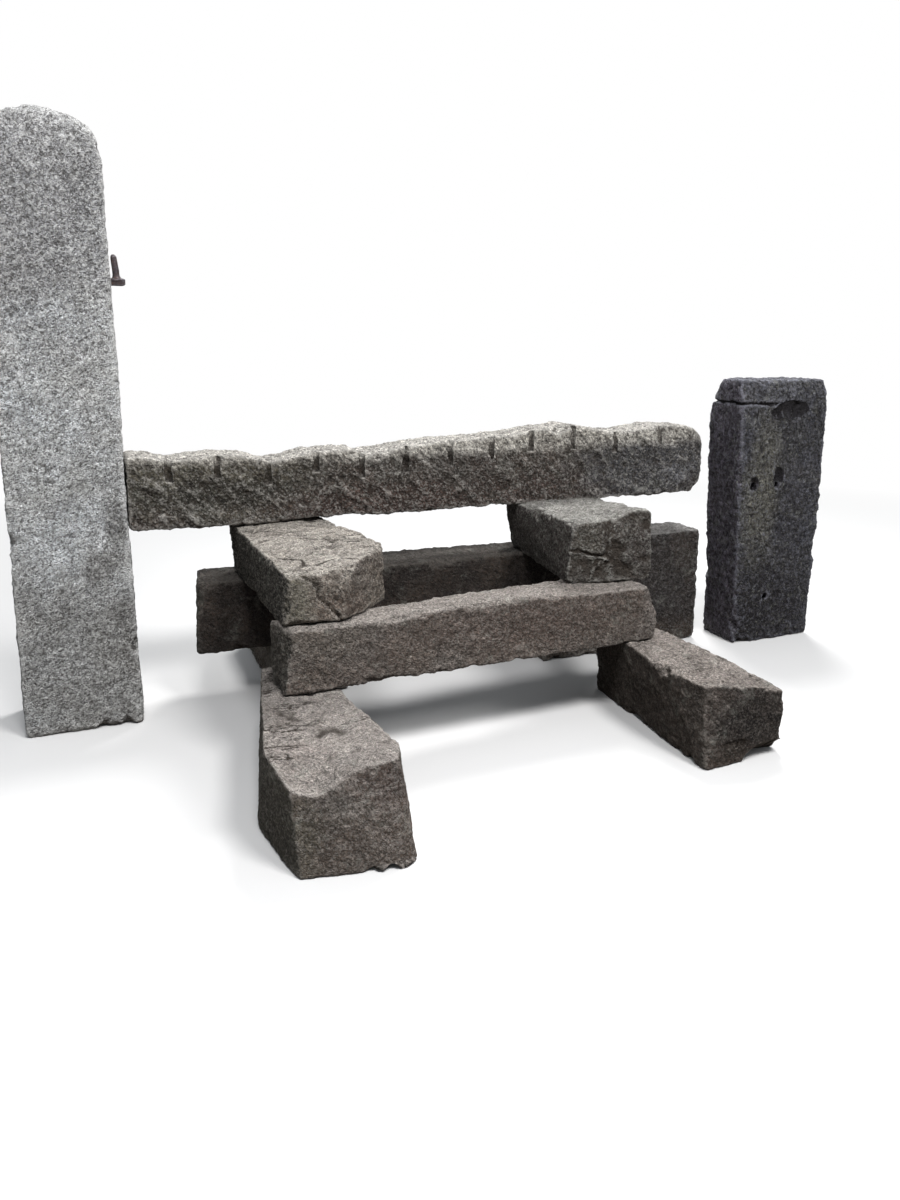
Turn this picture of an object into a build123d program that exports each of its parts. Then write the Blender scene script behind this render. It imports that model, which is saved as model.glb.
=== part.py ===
from build123d import *
import os

# A stone stile between two granite gateposts, in millimetres, +Z up.
# Low steps carry two bearers, the bearers carry two high steps, and those carry the rail.
# X runs along the rail from beside the left gatepost's face, and Y runs away from the viewer
# from the rail's front face. At the end the whole stile is centred on its own box.

# Heights, each stone on the one below
front_low_step_height = 270
back_low_step_height = 200
front_bearer_thickness = 200
high_step_thickness = 196
rail_thickness = 244

# Top rail, a long bar split off along a row of holes, drilled at these shares of its length
rail_length = 2315
rail_width = 200
drill_shares = [0.054, 0.124, 0.2, 0.275, 0.349, 0.424, 0.501, 0.575, 0.648, 0.726, 0.814, 0.905]
drill_radius = 11
drill_depth = 76

# How far the rail's top stands above or below its thickness at each drilled hole
rail_crest = [-12, -3, -24, -9, -13, -6, 12, 18, 32, 42, 20, 34]

# High steps, from on top of the front bearer back to under the rail
left_high_step_place = 328
left_high_step_width = 420
left_high_step_tread = 640
right_high_step_place = 1396
right_high_step_width = 434
right_high_step_tread = 556
high_step_bearing = 150
right_high_step_rise = 56
left_high_step_gap = 10
right_high_step_gap = 24

# Front bearer
front_bearer_place = 340
front_bearer_length = 1375
front_bearer_reach = 675
front_bearer_skew = 40
front_bearer_left_width = 140
front_bearer_right_width = 232

# Back bearer, under the rail from here to the end block
back_bearer_place = 170
back_bearer_width = 226

# Low steps, front ends in front of everything and back ends under the bearers
left_low_step_place = 210
left_low_step_width = 375
left_low_step_reach = 1275
left_low_step_length = 895
left_low_step_chip = 56
right_low_step_place = 1550
right_low_step_width = 340
right_low_step_reach = 1112
right_low_step_length = 732
right_low_step_fall = 45
back_low_step_length = 680
back_low_step_width = 300
back_low_step_lap = 36
left_back_step_inset = 260
right_back_step_inset = 110

# Block set against the back bearer's right end, to close the gap beside the right gatepost
end_block_overhang = 27
end_block_width = 372
end_block_height = 498
end_block_depth = 215

# Gateposts
left_post_width = 380
left_post_depth = 300
left_post_height = 1972
left_post_front = -70
left_post_place = -20
left_post_lean = 48
right_post_gap = 132
right_post_width = 420
right_post_depth = 228
right_post_height = 1140
right_post_front = -140
right_post_lean = 60
right_post_cap = 92

# Rounded head of the left gatepost: below the top, in from each side, in from front and back
head_rings = [(136, 0, 0), (86, 13, 10), (42, 48, 26), (17, 108, 48), (0, 176, 86)]

# Gate hook of wrought iron, let into the left gatepost
hook_height = 1470
hook_behind = 200
hook_offset = 25
hook_pin_radius = 11.5
hook_pin_length = 80
hook_dome = 10
hook_bar = 24
hook_bar_end = 26
hook_grip = 90

# Holes drilled in the front of the right gatepost
post_hole_radius = 14
post_hole_depth = 60
latch_holes_place = 34
latch_holes_spacing = 124
latch_holes_height = 699
lower_hole_place = 150
lower_hole_height = 206

# Hollow broken out under the right gatepost's cap
notch_width = 205
notch_height = 72
notch_depth = 48
notch_place = 92

# Worn edges of the split stones
arris = 8

# Levels and places that follow
bearer_seat = front_low_step_height
step_seat = bearer_seat + front_bearer_thickness
rail_seat = step_seat + high_step_thickness
rail_top = rail_seat + rail_thickness
right_post_place = rail_length + right_post_gap
end_block_place = rail_length + end_block_overhang - end_block_width
left_back_step_place = back_bearer_place + left_back_step_inset
right_back_step_place = end_block_place - right_back_step_inset - back_low_step_width


def lifted(outline, height):
    """Corners of a plan outline, set at one height."""
    return [(x, y, height) for x, y in outline]


def worn_ring(corners, fall):
    """Points around one end of a stone, with its edge and corners worn off."""
    points = []
    for i, corner in enumerate(corners):
        here = Vector(*corner)
        back = (Vector(*corners[i - 1]) - here).normalized() * arris
        ahead = (Vector(*corners[(i + 1) % len(corners)]) - here).normalized() * arris
        points += [here + back + ahead, here + back + fall, here + ahead + fall]
    return points


def stone(low, high, belly=()):
    """A split stone, swept up tight around its lower corners, upper corners and belly."""
    points = worn_ring(low, Vector(0, 0, arris)) + worn_ring(high, Vector(0, 0, -arris))
    return ConvexPolyhedron(points + [Vector(*corner) for corner in belly])


def post_face(height):
    """X of the left gatepost's leaning face, which stands at its place at the height of the rail's seat."""
    return left_post_place + left_post_lean * (height - rail_seat) / left_post_height


def open_joint(left, right, front, height):
    """The wedge of air under a step's front, where it bears on its stone only further back."""
    back = front + 110
    corners = [(left, front, step_seat - 1), (right, front, step_seat - 1), (left, front, step_seat + height),
               (right - 60, front, step_seat + height), (left, back, step_seat - 1), (right - 60, back, step_seat - 1)]
    return ConvexPolyhedron([Vector(*corner) for corner in corners])


def make_left_high_step():
    left, front = left_high_step_place, -left_high_step_tread
    right, back = left + left_high_step_width, high_step_bearing
    low = [(left + 40, front + 14), (left + 236, front), (right, front + 190),
           (right - 70, back), (left + 12, back)]
    high = [(left + 54, front + 24, rail_seat - 34), (left + 252, front + 4, rail_seat - 16),
            (right, front + 196, rail_seat), (right - 96, back, rail_seat), (left, back, rail_seat)]
    return stone(lifted(low, step_seat), high) - open_joint(left, left + 300, front - 20, left_high_step_gap)


def make_right_high_step():
    left, front = right_high_step_place, -right_high_step_tread
    right, back = left + right_high_step_width, high_step_bearing
    low = [(left, front + 40), (left + 318, front), (right, back - 90), (right - 30, back),
           (left + 92, back)]
    high = [(left + 24, front + 52, rail_seat + 20),
            (left + 318, front + 6, rail_seat + right_high_step_rise),
            (right, back - 90, rail_seat), (right - 30, back, rail_seat), (left + 60, back, rail_seat)]
    bed = Box(rail_length, rail_width + 60, rail_thickness, align=(Align.MIN, Align.MIN, Align.MIN))
    step = stone(lifted(low, step_seat), high) - Pos(0, -30, rail_seat) * bed
    return step - open_joint(left - 1, left + 270, front - 20, right_high_step_gap)


def make_front_bearer():
    left, right = front_bearer_place, front_bearer_place + front_bearer_length
    front, far_front = -front_bearer_reach, front_bearer_skew - front_bearer_reach
    back, far_back = front + front_bearer_left_width, far_front + front_bearer_right_width
    low = [(left + 14, front), (right - 16, far_front), (right - 22, far_back), (left, back)]
    high = [(left + 46, front + 4), (right - 56, far_front + 6), (right - 40, far_back), (left, back)]
    belly = [(right, far_front + 30, bearer_seat + 90), (right, far_back - 30, bearer_seat + 90)]
    return stone(lifted(low, bearer_seat), lifted(high, step_seat), belly)


def make_back_bearer():
    left, right = back_bearer_place, end_block_place
    low = [(left, 0), (right, 0), (right, back_bearer_width), (left + 30, back_bearer_width)]
    high = [(left + 14, 0), (right, 0), (right, back_bearer_width), (left + 40, back_bearer_width)]
    return stone(lifted(low, back_low_step_height), lifted(high, step_seat))


def bar(profile, width):
    """A long bar: its outline seen from the front, carried straight back."""
    outline = Wire.make_polygon([Vector(x, 0, z) for x, z in profile])
    return Solid.extrude(Face(outline), Vector(0, width, 0))


def make_top_rail():
    crest = [(share * rail_length, rail_top + rise) for share, rise in zip(drill_shares, rail_crest)]
    right = rail_length
    end = [(right - 20, rail_seat), (right, rail_seat + 60), (right, rail_top - 10),
           (right - 56, crest[-1][1] - 12)]
    left_top = rail_top + 12
    profile = [(post_face(rail_seat), rail_seat)] + end + crest[::-1] + [(post_face(left_top), left_top)]
    rail = bar(profile, rail_width)
    long_edges = rail.edges().filter_by(lambda edge: edge.length < rail_width - 1 or edge.length > rail_width + 1)
    rail = chamfer(long_edges, arris)
    for x, top in crest:
        drill = Cylinder(drill_radius, 2 * drill_depth, align=(Align.CENTER, Align.CENTER, Align.MIN))
        rail -= Pos(x, drill_radius / 4, top - drill_depth) * drill
    return rail


def make_left_low_step():
    left, front = left_low_step_place, -left_low_step_reach
    right, back = left + left_low_step_width, front + left_low_step_length
    low = [(left + 31, front + 103), (left + 53, front + 42), (left + 159, front + 23), (right - 65, front),
           (right - 13, front + 31), (right, front + 115), (right - 80, back), (left + 110, back),
           (left, front + 353)]
    high = [(left + 45, front + 100), (right - 71, front + 86), (right - 40, front + 90),
            (right - 8, front + 176), (right - 85, back), (left + 124, back), (left + 44, front + 377),
            (left + 12, front + 258)]
    step = stone(lifted(low, 0), lifted(high, bearer_seat))
    over, face = bearer_seat + 5, front - 30
    chip = [(left + 24, front + 120, over), (right - 50, front + 110, over), (left + 130, front + 220, over),
            (left + 24, face, over), (right - 50, face, over),
            (left + 112, front + 76, bearer_seat - left_low_step_chip),
            (left + 112, face, bearer_seat - left_low_step_chip - 10)]
    return step - ConvexPolyhedron([Vector(*corner) for corner in chip])


def make_right_low_step():
    left, front = right_low_step_place, -right_low_step_reach
    right, back = left + right_low_step_width, front + right_low_step_length
    low = [(left + 24, front), (right, front + 15), (right - 30, back), (left + 60, back)]
    high = [(left + 32, front + 56, bearer_seat), (left + 180, front + 14, bearer_seat - 10),
            (right - 12, front + 20, bearer_seat - right_low_step_fall),
            (right - 90, front + 240, bearer_seat), (right - 100, back, bearer_seat),
            (left + 40, back, bearer_seat), (left, front + 230, bearer_seat)]
    return stone(lifted(low, 0), high)


def make_back_low_step(left):
    right = left + back_low_step_width
    front, back = -back_low_step_lap, back_low_step_length - back_low_step_lap
    low = [(left, front), (right - 6, front), (right, back - 40), (right - 36, back), (left + 12, back)]
    high = [(left + 10, front), (right - 14, front), (right - 16, back - 60), (right - 60, back - 20),
            (left + 22, back - 16)]
    return stone(lifted(low, 0), lifted(high, back_low_step_height))


def make_end_block():
    left, right, back = end_block_place, end_block_place + end_block_width, end_block_depth
    low = [(left, 0), (right - 4, 0), (right - 10, back), (left, back)]
    high = [(left, 10), (right, 6), (right - 8, back - 10), (left, back - 6)]
    return stone(lifted(low, 0), lifted(high, end_block_height))


def make_left_post():
    front, back = left_post_front, left_post_front + left_post_depth
    foot = post_face(0)
    low = [(foot - left_post_width, front), (foot, front), (foot, back), (foot - left_post_width, back)]
    points = worn_ring(lifted(low, 0), Vector(0, 0, arris))
    for below, side, face in head_rings:
        height = left_post_height - below
        right = post_face(height) - side
        left = post_face(height) - left_post_width + side + left_post_lean / 2
        points += [Vector(x, y, height) for x in (left, right) for y in (front + face, back - face)]
    return ConvexPolyhedron(points)


def make_right_post():
    left, front = right_post_place, right_post_front
    right, back = left + right_post_width, front + right_post_depth
    head, cap_seat = left - right_post_lean, right_post_height - right_post_cap
    low = [(left, front), (right, front), (right - 10, back), (left + 6, back)]
    high = [(head, front), (right - 22, front), (right - 26, back - 8), (head + 4, back)]
    cap_low = [(head + 6, front + 6), (right - 28, front + 12), (right - 32, back - 14), (head + 10, back - 6)]
    cap_high = [(head + 16, front + 44), (right - 36, front + 22), (right - 42, back - 30), (head + 28, back - 46)]
    cap = ConvexPolyhedron([Vector(x, y, cap_seat - arris) for x, y in cap_low]
                           + [Vector(x, y, right_post_height) for x, y in cap_high])
    post = stone(lifted(low, 0), lifted(high, cap_seat)) + cap
    mouth = left + notch_place
    notch = [(mouth, front - 1, cap_seat), (mouth + notch_width, front - 1, cap_seat),
             (mouth + notch_width * 0.7, front - 1, cap_seat - notch_height * 0.6),
             (mouth + notch_width * 0.35, front - 1, cap_seat - notch_height),
             (mouth + notch_width * 0.3, front + notch_depth, cap_seat - arris),
             (mouth + notch_width * 0.8, front + notch_depth, cap_seat - arris)]
    post -= ConvexPolyhedron([Vector(*corner) for corner in notch])
    drill = Rot(90, 0, 0) * Cylinder(post_hole_radius, 2 * post_hole_depth)
    holes = [(latch_holes_place, latch_holes_height), (lower_hole_place, lower_hole_height),
             (latch_holes_place + latch_holes_spacing, latch_holes_height)]
    for across, up in holes:
        post -= Pos(left + across, front, up) * drill
    return post


def make_gate_hook():
    face = post_face(hook_height)
    axis, behind = face + hook_offset, left_post_front + hook_behind
    shank_length = hook_grip + hook_offset + hook_bar_end
    shank = Pos(face - hook_grip, behind, hook_height) * Box(
        shank_length, hook_bar, hook_bar, align=(Align.MIN, Align.CENTER, Align.MIN))
    shank = chamfer(shank.edges().filter_by(Axis.X), 3)
    pin = Cylinder(hook_pin_radius, hook_pin_length, align=(Align.CENTER, Align.CENTER, Align.MIN))
    pin = fillet(pin.edges().group_by(Axis.Z)[-1], hook_dome)
    return shank + Pos(axis, behind, hook_height + hook_bar) * pin


gate_hook = make_gate_hook()
pieces = {
    "left_gatepost": make_left_post() - gate_hook,
    "right_gatepost": make_right_post(),
    "gate_hook": gate_hook,
    "top_rail": make_top_rail(),
    "left_high_step": make_left_high_step(),
    "right_high_step": make_right_high_step(),
    "front_bearer": make_front_bearer(),
    "back_bearer": make_back_bearer(),
    "left_low_step": make_left_low_step(),
    "right_low_step": make_right_low_step(),
    "left_back_step": make_back_low_step(left_back_step_place),
    "right_back_step": make_back_low_step(right_back_step_place),
    "right_end_block": make_end_block(),
}

whole = Compound([solid for piece in pieces.values() for solid in piece.solids()]).bounding_box()
middle = (whole.min + whole.max) / 2
to_frame = Pos(-middle.X, -middle.Y, 0)

os.makedirs("parts", exist_ok=True)
for name, piece in pieces.items():
    export_step(to_frame * piece, f"parts/{name}.step")
print("moved by", to_frame.position, "size", whole.size)
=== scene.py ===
import bpy
import bmesh
import math
import numpy as np
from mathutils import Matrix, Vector


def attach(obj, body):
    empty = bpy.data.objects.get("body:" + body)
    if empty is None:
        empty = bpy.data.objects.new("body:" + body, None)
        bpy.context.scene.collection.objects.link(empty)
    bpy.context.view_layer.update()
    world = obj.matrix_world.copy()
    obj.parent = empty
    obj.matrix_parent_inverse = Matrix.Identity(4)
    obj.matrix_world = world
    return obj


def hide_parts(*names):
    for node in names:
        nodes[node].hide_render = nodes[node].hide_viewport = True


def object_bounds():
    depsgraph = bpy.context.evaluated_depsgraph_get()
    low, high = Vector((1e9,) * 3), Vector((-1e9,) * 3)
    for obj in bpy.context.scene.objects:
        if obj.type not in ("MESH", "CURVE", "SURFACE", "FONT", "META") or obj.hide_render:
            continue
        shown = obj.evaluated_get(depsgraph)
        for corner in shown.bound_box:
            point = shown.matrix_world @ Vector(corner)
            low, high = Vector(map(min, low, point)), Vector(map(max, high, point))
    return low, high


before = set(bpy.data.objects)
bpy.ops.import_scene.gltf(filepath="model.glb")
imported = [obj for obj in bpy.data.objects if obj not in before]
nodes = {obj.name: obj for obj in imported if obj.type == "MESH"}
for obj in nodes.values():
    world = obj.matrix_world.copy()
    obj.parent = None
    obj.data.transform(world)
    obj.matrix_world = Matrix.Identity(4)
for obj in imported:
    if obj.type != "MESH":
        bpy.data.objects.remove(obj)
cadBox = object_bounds()
print("frame loaded,", len(nodes), "stones and irons")

# x runs along the rail from beside the left gatepost, y back from the rail's front face, z up
origin = np.array([-1.22522, 0.314898, 0.0])


def at(x, y, z):  # millimetres from the rail's corner to a place in the frame, in metres
    return origin + np.array([x, y, z]) / 1000


# small helpers for node trees
def addNode(tree, kind, inputs=None, **settings):
    made = tree.nodes.new(kind)
    for name, value in settings.items():
        setattr(made, name, value)
    for key, value in (inputs or {}).items():
        if isinstance(value, bpy.types.NodeSocket):
            tree.links.new(value, made.inputs[key])
        else:
            made.inputs[key].default_value = value
    return made


def maths(tree, operation, first, second=0.0, third=None):
    inputs = {0: first, 1: second}
    if third is not None:
        inputs[2] = third
    return addNode(tree, "ShaderNodeMath", inputs, operation=operation).outputs[0]


def vectorMaths(tree, operation, inputs):
    return addNode(tree, "ShaderNodeVectorMath", inputs, operation=operation).outputs


def remap(tree, value, low, high, toLow=0.0, toHigh=1.0):
    inputs = {"Value": value, "From Min": low, "From Max": high, "To Min": toLow, "To Max": toHigh}
    return addNode(tree, "ShaderNodeMapRange", inputs, clamp=True).outputs["Result"]


def blend(tree, amount, under, over):
    mix = addNode(tree, "ShaderNodeMix", data_type="RGBA")
    for place, value in ((0, amount), (6, under), (7, over)):
        if isinstance(value, bpy.types.NodeSocket):
            tree.links.new(value, mix.inputs[place])
        else:
            mix.inputs[place].default_value = (*value, 1) if place else value
    return mix.outputs[2]


def stored(tree, name):  # a number that the mesh carries at each point
    return addNode(tree, "ShaderNodeAttribute", attribute_name=name).outputs["Fac"]


def freshMaterial(name):
    finish = bpy.data.materials.new(name)
    finish.use_nodes = True
    finish.node_tree.nodes.clear()
    return finish, finish.node_tree


def surfaceOf(tree, bumps, inputs):  # bumps run from the coarsest to the finest
    skin = {}
    for height, distance, strength in bumps:
        inner = {"Height": height, "Distance": distance, "Strength": strength, **skin}
        skin = {"Normal": addNode(tree, "ShaderNodeBump", inner).outputs["Normal"]}
    shader = addNode(tree, "ShaderNodeBsdfPrincipled", {**inputs, **skin})
    addNode(tree, "ShaderNodeOutputMaterial", {"Surface": shader.outputs[0]})


# granite, one finish a stone: two tones that drift, tints in places, grain, lichen, dirt, painted light and
# shade
# grain and clumps are counts a metre, slants and turns degrees, footTop a height in metres, the rest shares
# shift moves its patterns, and a zone has its centre and size in millimetres, its tone and its share
plainGranite = {
    "shift": (0, 0, 0), "warm": (0.235, 0.195, 0.160), "cool": (0.225, 0.215, 0.200), "zones": [],
    "stain": 0.35, "stainTone": (0.115, 0.085, 0.064), "pale": (0.52, 0.49, 0.455), "washedAndLit": 0.85,
    "undersideShadeAndFootTone": (0.085, 0.062, 0.047), "footTop": -1.0, "leftShade": 0.0, "leftShadeTone": (0.085, 0.085, 0.070),
    "patches": 0.22, "mottle": 0.55, "clumps": 110, "facets": 0.24, "streaks": 0.28, "slant": 40,
    "cracks": 0.5, "crackTurn": 10,
    "grain": 190, "flecks": 0.6, "mica": (0.060, 0.055, 0.050), "darkGrain": (0.072, 0.064, 0.056),
    "crystals": 0.45, "lichen": 0.25, "lichenTone": (0.47, 0.48, 0.43), "speckle": 0.25,
    "blackLichen": 0.3, "blackTone": (0.038, 0.036, 0.034),
    "hollowDirtAndShade": 0.55, "dirtAndShade": (0.050, 0.040, 0.032), "edges": 0.45, "lumps": 0.9}


def graniteFinish(name, look):
    finish, tree = freshMaterial(name)
    place = addNode(tree, "ShaderNodeTexCoord").outputs["Object"]
    shifted = {"Vector": place, "Location": look["shift"]}
    spot = addNode(tree, "ShaderNodeMapping", shifted).outputs["Vector"]
    height = addNode(tree, "ShaderNodeSeparateXYZ", {0: place}).outputs["Z"]
    normal = addNode(tree, "ShaderNodeNewGeometry").outputs["Normal"]
    facing = addNode(tree, "ShaderNodeSeparateXYZ", {0: normal}).outputs

    def drawnOut(turn, lengths):  # the place, for a pattern that is longer one way
        inputs = {"Vector": spot, "Rotation": [math.radians(angle) for angle in turn], "Scale": lengths}
        return addNode(tree, "ShaderNodeMapping", inputs, vector_type="TEXTURE").outputs["Vector"]

    def cloudy(scale, detail, distortion=0.0, rough=0.55, vector=spot):
        inputs = {
            "Vector": vector, "Scale": scale, "Detail": detail,
            "Roughness": rough, "Distortion": distortion}
        return addNode(tree, "ShaderNodeTexNoise", inputs).outputs["Fac"]

    def grains(scale):  # a random number for each grain, and how far out in the grain a point is
        cells = addNode(tree, "ShaderNodeTexVoronoi", {"Vector": spot, "Scale": scale, "Randomness": 1.0})
        number = addNode(tree, "ShaderNodeSeparateColor", {0: cells.outputs["Color"]}).outputs[0]
        return number, cells.outputs["Distance"]

    def ramp(value, *ends):
        return remap(tree, value, *ends)

    def times(first, second):
        return maths(tree, "MULTIPLY", first, second)

    def swing(value, share, spread=0.2):  # a noise as a factor around one
        return ramp(value, 0.5 - spread, 0.5 + spread, 1.0 - share, 1.0 + share)

    def covered(amount, tone):  # the tone laid over what the stone has so far
        return blend(tree, amount, body, tone)

    # two tones that drift into each other, stains, and tints in places
    body = blend(tree, ramp(cloudy(4.2, 5, 0.4), 0.38, 0.62), look["warm"], look["cool"])
    body = covered(ramp(cloudy(3.1, 6, 0.8, 0.66), 0.50, 0.66, 0.0, look["stain"]), look["stainTone"])
    ragged = cloudy(9, 6, 0.5, 0.68)
    for middle, across, tone, share in look["zones"]:
        centre, size = at(*middle), np.array(across) / 1000
        inputs = {"Vector": place, "Location": tuple(-centre / size), "Scale": tuple(1 / size)}
        apart = addNode(tree, "ShaderNodeMapping", inputs).outputs[0]
        far = vectorMaths(tree, "LENGTH", {0: apart})["Value"]
        edge = maths(tree, "MULTIPLY_ADD", ragged, 1.5, maths(tree, "SUBTRACT", far, 0.75))
        body = covered(ramp(edge, 1.2, 0.55, 0.0, share), tone)

    # tops paler, partly washed by rain and boots and partly painted light on the tops
    washAndLightAt = times(ramp(facing["Z"], 0.25, 0.75), ramp(cloudy(9, 6, 0.3, 0.65), 0.30, 0.56, 0.5, 1.0))
    body = covered(times(washAndLightAt, look["washedAndLit"]), look["pale"])

    # painted shade on undersides, and darker towards the bottom below footTop
    body = covered(ramp(facing["Z"], -0.15, -0.8, 0.0, 0.6), look["undersideShadeAndFootTone"])
    wander = maths(tree, "MULTIPLY_ADD", cloudy(11, 4), 0.12, height)
    body = covered(ramp(wander, look["footTop"] + 0.15, look["footTop"], 0.0, 0.8), look["undersideShadeAndFootTone"])

    # painted shade on sides that face left
    body = covered(times(ramp(facing["X"], -0.35, -0.80), look["leftShade"]), look["leftShadeTone"])

    # patches, clumps, facets and slanting streaks, each a share of the tone below it
    grain = cloudy(look["clumps"], 3, 0.3, 0.62, drawnOut((0, look["slant"], 0), (1.6, 1.1, 1.0)))
    comb = cloudy(58, 4, 0.4, 0.62, drawnOut((0, look["slant"], 0), (3.4, 1.4, 1.0)))
    facet, facetEdge = grains(look["clumps"] * 1.15)
    shade = times(swing(cloudy(17, 5, 0.5, 0.65), look["patches"]), swing(grain, look["mottle"], 0.18))
    shade = times(shade, swing(facet, look["facets"], 0.5))
    shade = times(shade, swing(comb, look["streaks"]))
    body = vectorMaths(tree, "SCALE", {0: body, "Scale": shade})[0]

    # fine cracks along the bed, open on the tops
    bedded = cloudy(10, 5, 0.2, 0.62, drawnOut((0, 0, look["crackTurn"]), (2.6, 1.0, 1.0)))
    beside = maths(tree, "ABSOLUTE", maths(tree, "SUBTRACT", bedded, 0.5))
    opened = times(ramp(cloudy(6, 2), 0.46, 0.56), ramp(facing["Z"], 0.4, 0.7))
    crackAt = times(ramp(beside, 0.020, 0.004), times(opened, look["cracks"]))
    body = covered(crackAt, look["dirtAndShade"])

    # mica flecks, feldspar crystals, dark grains and larger pale crystals
    mica = grains(look["grain"] * 1.8)[0]
    coarse = grains(look["grain"])[0]
    large, largeEdge = grains(look["grain"] * 0.45)
    body = covered(times(maths(tree, "LESS_THAN", mica, 0.20), look["flecks"]), look["mica"])
    crystalAt = times(maths(tree, "GREATER_THAN", coarse, 0.74), look["crystals"])
    body = covered(crystalAt, covered(0.6, look["pale"]))
    body = covered(times(maths(tree, "LESS_THAN", coarse, 0.12), look["flecks"] * 0.8), look["darkGrain"])
    largeAt = ramp(largeEdge, 0.40, 0.26, 0.0, look["crystals"])
    largeAt = times(maths(tree, "GREATER_THAN", large, 0.88), largeAt)
    body = covered(largeAt, covered(0.5, look["pale"]))

    # lichen: pale crusts, small pale spots and black patches
    crustAt = times(ramp(cloudy(12, 7, 0.6, 0.72), 0.56, 0.61), ramp(cloudy(64, 4), 0.38, 0.56, 0.2, 1.0))
    crustAt = times(crustAt, ramp(facing["Z"], -0.5, 0.5, look["lichen"] * 0.5, look["lichen"]))
    body = covered(crustAt, look["lichenTone"])
    body = covered(ramp(cloudy(105, 4, 0.2, 0.6), 0.60, 0.66, 0.0, look["speckle"]), look["lichenTone"])
    body = covered(ramp(cloudy(24, 7, 0.3, 0.74), 0.58, 0.66, 0.0, look["blackLichen"]), look["blackTone"])

    # cracks hold dirt, hollows get dirt and painted shade, and what stands out is paler, partly clean stone
    # and partly a painted highlight
    relief = stored(tree, "relief")
    body = covered(ramp(stored(tree, "groove"), 0.30, 0.75, 0.0, 0.9), look["dirtAndShade"])
    body = covered(ramp(relief, 0.50, 0.20, 0.0, look["hollowDirtAndShade"]), look["dirtAndShade"])
    body = covered(ramp(relief, 0.56, 0.86, 0.0, look["edges"]), look["pale"])

    shine = ramp(mica, 0.22, 0.20, 0.0, 0.3)
    rough = maths(tree, "SUBTRACT", ramp(cloudy(60, 3), 0.3, 0.7, 0.80, 0.97), shine)
    facetHeight = maths(tree, "MULTIPLY_ADD", facet, 1.1, times(facetEdge, -1.2))
    crystalHeight = maths(tree, "MULTIPLY_ADD", coarse, 0.8, facetHeight)
    bumps = [(grain, 2.4 / look["clumps"], look["lumps"]), (comb, 0.018, min(1.0, 3 * look["streaks"])),
             (crystalHeight, 0.0034, 0.9), (cloudy(430, 2), 0.0014, 0.6),
             (maths(tree, "SUBTRACT", 1.0, crackAt), 0.004, 0.8)]
    surfaceOf(tree, bumps, {"Base Color": body, "Roughness": rough, "Specular IOR Level": 0.3})
    return finish


def geometryTree(name, sockets):  # an empty tree with the inputs it is given, by name and kind
    tree = bpy.data.node_groups.new(name, "GeometryNodeTree")
    for label, kind in {"Geometry": "Geometry", **sockets}.items():
        tree.interface.new_socket(label, in_out="INPUT", socket_type="NodeSocket" + kind)
    tree.interface.new_socket("Geometry", in_out="OUTPUT", socket_type="NodeSocketGeometry")
    return tree, addNode(tree, "NodeGroupInput").outputs


# fine relief of a stone, and how far each point stands out of its surroundings
def stoneSkinTree():
    sockets = {"Lumps": "Float", "Grit": "Float", "Seed": "Float", "Finish": "Material"}
    tree, given = geometryTree("stoneSkin", sockets)
    position = addNode(tree, "GeometryNodeInputPosition").outputs[0]
    normal = addNode(tree, "GeometryNodeInputNormal").outputs[0]

    def centred(scale, detail, amount):
        inputs = {
            "Vector": position, "W": given["Seed"], "Scale": scale, "Detail": detail, "Roughness": 0.6}
        noise = addNode(tree, "ShaderNodeTexNoise", inputs, noise_dimensions="4D").outputs["Fac"]
        return maths(tree, "MULTIPLY", maths(tree, "MULTIPLY_ADD", noise, 2.0, -1.0), amount)

    def standing(steps, strength):  # how far a point stands out of the surface smoothed by so many steps
        inputs = {"Value": position, "Iterations": steps}
        blurred = addNode(tree, "GeometryNodeBlurAttribute", inputs, data_type="FLOAT_VECTOR").outputs[0]
        away = vectorMaths(tree, "SUBTRACT", {0: position, 1: blurred})[0]
        out = vectorMaths(tree, "DOT_PRODUCT", {0: away, 1: normal})["Value"]
        return maths(tree, "MULTIPLY", out, strength)

    height = maths(tree, "ADD", centred(30, 4, given["Lumps"]), centred(105, 2, given["Grit"]))
    offset = vectorMaths(tree, "SCALE", {0: normal, "Scale": height})[0]
    moved = {"Geometry": given["Geometry"], "Offset": offset}
    shape = addNode(tree, "GeometryNodeSetPosition", moved).outputs[0]
    relief = maths(tree, "ADD", maths(tree, "ADD", standing(3, 100.0), standing(10, 34.0)), 0.5)
    named = {"Geometry": shape, "Name": "relief", "Value": relief}
    store = addNode(tree, "GeometryNodeStoreNamedAttribute", named, data_type="FLOAT", domain="POINT")
    shape = addNode(tree, "GeometryNodeRealizeInstances", {"Geometry": store.outputs[0]}).outputs[0]
    finished = {"Geometry": shape, "Material": given["Finish"]}
    shape = addNode(tree, "GeometryNodeSetMaterial", finished).outputs[0]
    addNode(tree, "NodeGroupOutput", {"Geometry": shape})
    return tree


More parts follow.
